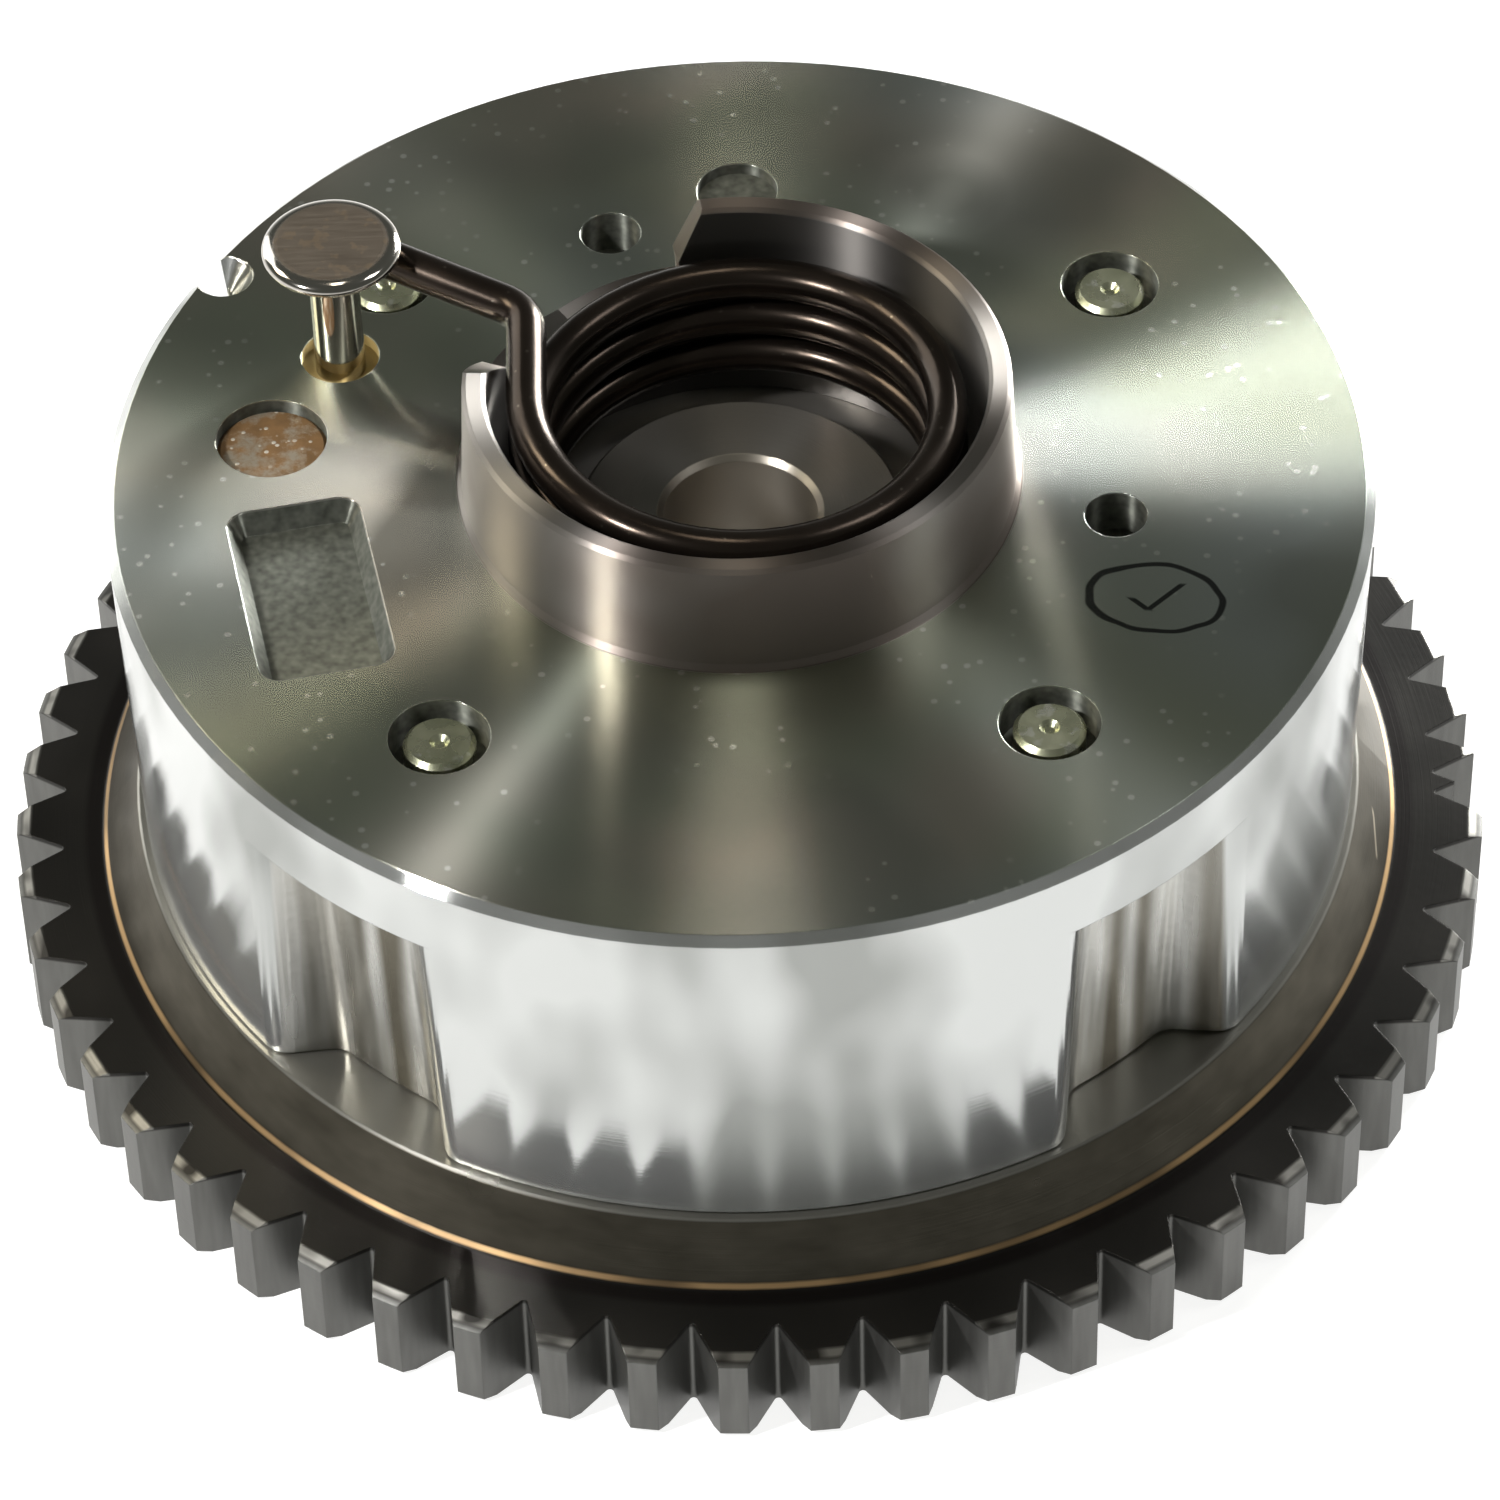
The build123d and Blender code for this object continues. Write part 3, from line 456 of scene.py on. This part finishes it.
def sprocket_material():
    """Blackened steel, silky grey tooth faces, a brown hub wall and a bright line at its foot."""
    s = Shader("dark_steel", metallic=0.9)
    s.turned(0.5)
    area = sprocket_areas(s)
    cloud = s.noise(80)
    tooth_grain = s.stretched((900, 900, 120), 2.0, 0.6)
    worn_edge = s.times(area.tip_edge, s.patches(500, 0.4, 0.2, detail=0.0))
    worn_line = s.times(area.foot_line, s.spread(s.patches(140, 0.42, 0.25, detail=1.0), 0.35, 1.0))
    scratch = s.times(hub_scratch(s), area.hub_wall)
    colour = s.layered(
        s.mix(cloud, (0.011, 0.011, 0.010), (0.034, 0.031, 0.027)),
        (area.hub_wall, s.mix(s.wound(9, 500, 2.0, 0.6), (0.045, 0.040, 0.029), (0.125, 0.112, 0.088))),
        (area.band, (0.013, 0.011, 0.010)),
        (area.teeth, s.mix(tooth_grain, (0.085, 0.083, 0.078), (0.19, 0.19, 0.18))),
        (worn_edge, (0.17, 0.165, 0.15)),
        (area.top_face, (0.30, 0.29, 0.26)),
        (worn_line, (0.55, 0.36, 0.18)),
        (s.times(scratch, 0.8), (0.5, 0.44, 0.34)),
    )
    roughness = s.blend(area.teeth, s.spread(cloud, 0.3, 0.44), s.spread(tooth_grain, 0.34, 0.48))
    roughness = s.blend(area.hub_wall, roughness, s.spread(cloud, 0.24, 0.36))
    rings = s.wound(2, 9000, 1.0, 0.7)
    height = s.plus(rings, s.times(s.noise(1600, detail=0.0), 0.6), s.times(tooth_grain, area.teeth))
    return s.finish(colour, roughness, s.bump(height, 0.012 * mm, 0.6, s.soft_edges(0.15 * mm)))


def rotor_material():
    """Machined sintered steel, brown with old oil."""
    s = Shader("sintered_steel")
    s.turned(0.7)
    in_bore = s.below(s.radius, bore_edge_radius)
    oiled = s.mottled(90, (0.24, 0.225, 0.2), (0.38, 0.36, 0.33), detail=3.0)
    # The bore and its chamfer are lighter: painted reflection
    colour = s.mix(in_bore, oiled, (0.46, 0.42, 0.36))
    roughness = s.blend(in_bore, s.spread(s.noise(60), 0.3, 0.42), 0.4)
    height = s.plus(s.wound(2, 8000, 1.0, 0.6), s.times(s.noise(1500, detail=1.0), 0.6))
    return s.finish(colour, roughness, s.bump(height, 0.014 * mm, 0.6, s.soft_edges(0.15 * mm)))


def wire_material():
    """Oil-tempered wire: nearly black bronze with a sheen."""
    s = Shader("tempered_wire", metallic=0.9)
    bronze = s.mottled(160, (0.020, 0.015, 0.012), (0.058, 0.044, 0.034))
    colour = s.mix(s.times(s.specks(900, 0.1), 0.3), bronze, (0.25, 0.22, 0.18))
    roughness = s.spread(s.noise(220, detail=1.0), 0.16, 0.3)
    return s.finish(colour, roughness, s.bump(s.noise(1400, detail=1.0), 0.01 * mm, 0.5))


def post_material():
    """Polished rounded edge and shank, brushed brown top."""
    s = Shader("polished_steel")
    top = s.above(s.z, post_top - 0.03 * mm, blur=0.04 * mm)
    lines = s.stretched((350, 4200, 300), 3.0, 0.6)
    flecks = s.patches(800, 0.62, 0.08)
    brown_top = s.layered(
        s.mottled(260, (0.24, 0.19, 0.15), (0.42, 0.34, 0.27), detail=3.0),
        (s.times(flecks, 0.7), (0.5, 0.36, 0.24)),
        (s.times(lines, 0.5), (0.42, 0.37, 0.31)),
    )
    colour = s.mix(top, (0.50, 0.47, 0.43), brown_top)
    roughness = s.blend(top, 0.1, s.spread(lines, 0.3, 0.44))
    return s.finish(colour, roughness, s.bump(s.times(s.plus(lines, flecks), top), 0.012 * mm, 0.6))


def screw_material():
    """Yellowish plated end faces, finely mottled."""
    s = Shader("zinc_plated_steel")
    yellowish = s.mottled(420, (0.50, 0.52, 0.34), (0.80, 0.80, 0.60), detail=3.0)
    colour = s.mix(s.patches(900, 0.62, 0.08), yellowish, (0.85, 0.85, 0.72))
    roughness = s.spread(s.noise(700), 0.2, 0.36)
    return s.finish(colour, roughness, s.bump(s.noise(1500, detail=3.0), 0.03 * mm, 0.6))


def bush_material():
    """Ground end face with brown rust and bright flecks."""
    s = Shader("rusty_steel", metallic=0.6)
    rust = s.patches(420, 0.44, 0.14, detail=5.0, roughness=0.65)
    flecks = s.times(s.specks(1100, 0.17), s.patches(300, 0.48, 0.1))
    brown = s.mottled(700, (0.10, 0.06, 0.028), (0.32, 0.18, 0.075), detail=3.0)
    colour = s.layered(s.mix(rust, (0.36, 0.31, 0.24), brown), (s.times(flecks, 0.8), (0.6, 0.57, 0.5)))
    height = s.plus(s.noise(1500, detail=4.0), flecks)
    return s.finish(colour, s.blend(rust, 0.32, 0.6), s.bump(height, 0.05 * mm, 0.7))


def plain_material(name, low, high, metallic, roughness):
    """A small part's finish: two shades of one colour, varied roughness, fine grain."""
    s = Shader(name, metallic)
    varied = s.spread(s.noise(250), roughness * 0.8, roughness * 1.3)
    return s.finish(s.mottled(350, low, high, detail=3.0), varied, s.bump(s.noise(1800), 0.01 * mm, 0.5))


def make_floor():
    """A wide pale floor at the sprocket's rear face."""
    s = Shader("floor", metallic=0.0)
    s.set("Base Color", (0.35, 0.35, 0.35))
    s.set("Roughness", 0.9)
    s.set("Specular IOR Level", 0)
    s.set("Emission Color", (1, 1, 0.99))
    s.set("Emission Strength", floor_glow)
    corners = [(x * floor_half, y * floor_half, 0) for x, y in ((-1, -1), (1, -1), (1, 1), (-1, 1))]
    mesh = bpy.data.meshes.new("floor")
    mesh.from_pydata(corners, [], [(0, 1, 2, 3)])
    mesh.materials.append(s.material)
    floor = bpy.data.objects.new("floor", mesh)
    floor.location.z = cad_low.z
    bpy.context.scene.collection.objects.link(floor)


def soft_box(name, azimuth, elevation, distance, width, height, brightness, colour):
    """A soft box that looks at the front face from a direction; its brightness is what a mirror shows."""
    data = bpy.data.lights.new(name, "AREA")
    data.shape = "RECTANGLE"
    data.size = width
    data.size_y = height
    data.energy = brightness * pi * width * height
    data.color = colour
    light = bpy.data.objects.new(name, data)
    way = polar(cos(radians(elevation)), azimuth) + Vector((0, 0, sin(radians(elevation))))
    light.location = Vector((0, 0, face_z)) + way * distance
    light.rotation_mode = "QUATERNION"
    light.rotation_quaternion = (-way).to_track_quat("-Z", "Y")
    bpy.context.scene.collection.objects.link(light)


def make_surround():
    """A dim room: pale low down, darker overhead."""
    world = bpy.data.worlds.new("surround")
    world.use_nodes = True
    s = Nodes(world.node_tree)
    way = s.node("ShaderNodeTexCoord").outputs["Generated"]
    up = s.node("ShaderNodeSeparateXYZ", Vector=way).outputs[2]
    low = s.below(up, 0.16, blur=0.26)
    background = world.node_tree.nodes["Background"]
    s.put(background.inputs["Color"], s.mix(low, (0.095, 0.1, 0.09), (0.62, 0.64, 0.62)))
    bpy.context.scene.world = world


def arc(centre, start, end, radius, steps):
    """Points of a level arc, without the first."""
    points = []
    for step in range(1, steps + 1):
        angle = start + (end - start) * step / steps
        points.append(Vector((centre.x + radius * cos(angle), centre.y + radius * sin(angle), centre.z)))
    return points


def bias_spring_path():
    """Leg, coil, arm and hook of the bias spring, as points along the wire's centre."""
    climb = coil_pitch / (2 * pi * coil_radius)
    leg_x = leg_bend * (1 - sin(climb))
    leg_top = coil_bottom - leg_bend * cos(climb)
    path = [Vector((leg_x, -coil_radius, level)) for level in (leg_bottom, (leg_bottom + leg_top) / 2)]
    for step in range(bend_steps):
        angle = (pi / 2 - climb) * step / bend_steps
        x = leg_x - leg_bend * (1 - cos(angle))
        path.append(Vector((x, -coil_radius, leg_top + leg_bend * sin(angle))))
    for step in range(coil_steps + 1):
        angle = coil_start - 2 * pi * coil_turns * step / coil_steps
        rise = coil_pitch * coil_turns * step / coil_steps
        path.append(Vector((coil_radius * cos(angle), coil_radius * sin(angle), coil_bottom + rise)))

    turn = arm_angle - pi / 2
    arm_end = post_place + Vector((hook_radius * cos(turn), hook_radius * sin(turn), 0))
    corner_y = arm_end.y + (-coil_radius - arm_end.x) * tan(arm_angle)
    hook_z = arm_z + corner_y * climb
    bend_start = corner_y - arm_bend * tan(turn / 2)
    path.append(Vector((-coil_radius, bend_start / 2, arm_z + bend_start / 2 * climb)))
    path.append(Vector((-coil_radius, bend_start, hook_z)))
    path += arc(Vector((-coil_radius - arm_bend, bend_start, hook_z)), 0, turn, arm_bend, bend_steps)
    path.append(Vector((arm_end.x, arm_end.y, hook_z)))
    hook_centre = Vector((post_place.x, post_place.y, hook_z))
    path += arc(hook_centre, turn, turn + hook_sweep, hook_radius, hook_steps)
    return path


def pin_spring_path():
    """The lock pin's coil."""
    path = []
    for step in range(pin_coil_steps + 1):
        angle = 2 * pi * pin_coil_turns * step / pin_coil_steps
        level = pin_coil_bottom + (pin_coil_top - pin_coil_bottom) * step / pin_coil_steps
        path.append(pin_place + Vector((pin_coil_radius * cos(angle), pin_coil_radius * sin(angle), level)))
    return path


def wire(name, path, radius, sides, material):
    """A round wire along a path, its ends closed with a small chamfer."""
    ways = []
    for number in range(len(path)):
        before = path[max(number - 1, 0)]
        after = path[min(number + 1, len(path) - 1)]
        ways.append((after - before).normalized())
    chamfer = 0.15 * radius
    stations = [(path[0], ways[0], radius - chamfer), (path[0] + ways[0] * chamfer, ways[0], radius)]
    stations += [(place, way, radius) for place, way in zip(path[1:-1], ways[1:-1])]
    stations += [(path[-1] - ways[-1] * chamfer, ways[-1], radius), (path[-1], ways[-1], radius - chamfer)]

    across = ways[0].orthogonal().normalized()
    points = []
    for place, way, reach in stations:
        across = (across - way * across.dot(way)).normalized()
        other = way.cross(across)
        for side in range(sides):
            angle = 2 * pi * side / sides
            points.append(place + (across * cos(angle) + other * sin(angle)) * reach)

    faces = [tuple(reversed(range(sides)))]
    for ring in range(len(stations) - 1):
        first, second = ring * sides, (ring + 1) * sides
        for side in range(sides):
            following = (side + 1) % sides
            faces.append((first + side, first + following, second + following, second + side))
    faces.append(tuple(range((len(stations) - 1) * sides, len(stations) * sides)))

    mesh = bpy.data.meshes.new(name)
    mesh.from_pydata(points, [], faces)
    for face in mesh.polygons:
        face.use_smooth = len(face.vertices) == 4
    mesh.materials.append(material)
    made = bpy.data.objects.new(name, mesh)
    bpy.context.scene.collection.objects.link(made)
    return made


def make_springs(strip):
    """The two springs that bend or shorten between bodies."""
    bias = wire("bias_spring_wire", bias_spring_path(), wire_radius, wire_sides, wire_material())
    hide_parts("bias_spring")
    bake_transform(bias)
    pin = wire("lock_pin_spring_wire", pin_spring_path(), pin_wire, pin_wire_sides, strip)
    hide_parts("lock_pin_spring")
    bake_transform(pin)


def dress(name, material):
    """Give a CAD node its material."""
    mesh = cad_nodes[name].data
    if not mesh.materials:
        mesh.materials.append(material)
    for number in range(len(mesh.materials)):
        mesh.materials[number] = material


def dress_all(strip):
    """Materials for every CAD node that shows as it is."""
    dress("housing", housing_material())
    dress("sprocket", sprocket_material())
    dress("rotor", rotor_material())
    dress("spring_post", post_material())
    dress("lock_pin_bush", bush_material())
    screw = screw_material()
    seal = plain_material("seal_plastic", (0.11, 0.08, 0.05), (0.2, 0.15, 0.1), 0.0, 0.5)
    hard = plain_material("hardened_steel", (0.33, 0.33, 0.33), (0.45, 0.45, 0.46), 1.0, 0.2)
    for number in range(1, 5):
        dress(f"screw_{number}", screw)
        dress(f"vane_seal_{number}", seal)
        dress(f"shoe_seal_{number}", seal)
        dress(f"vane_seal_spring_{number}", strip)
        dress(f"shoe_seal_spring_{number}", strip)
    for name in ("lock_pin", "lock_pin_cap", "locating_pin"):
        dress(name, hard)


bpy.context.scene.view_settings.view_transform = "Standard"
make_camera()
make_floor()
for row in soft_boxes:
    soft_box(*row)
make_surround()
spring_strip = plain_material("spring_steel", (0.4, 0.4, 0.38), (0.55, 0.55, 0.53), 1.0, 0.25)
make_springs(spring_strip)
dress_all(spring_strip)
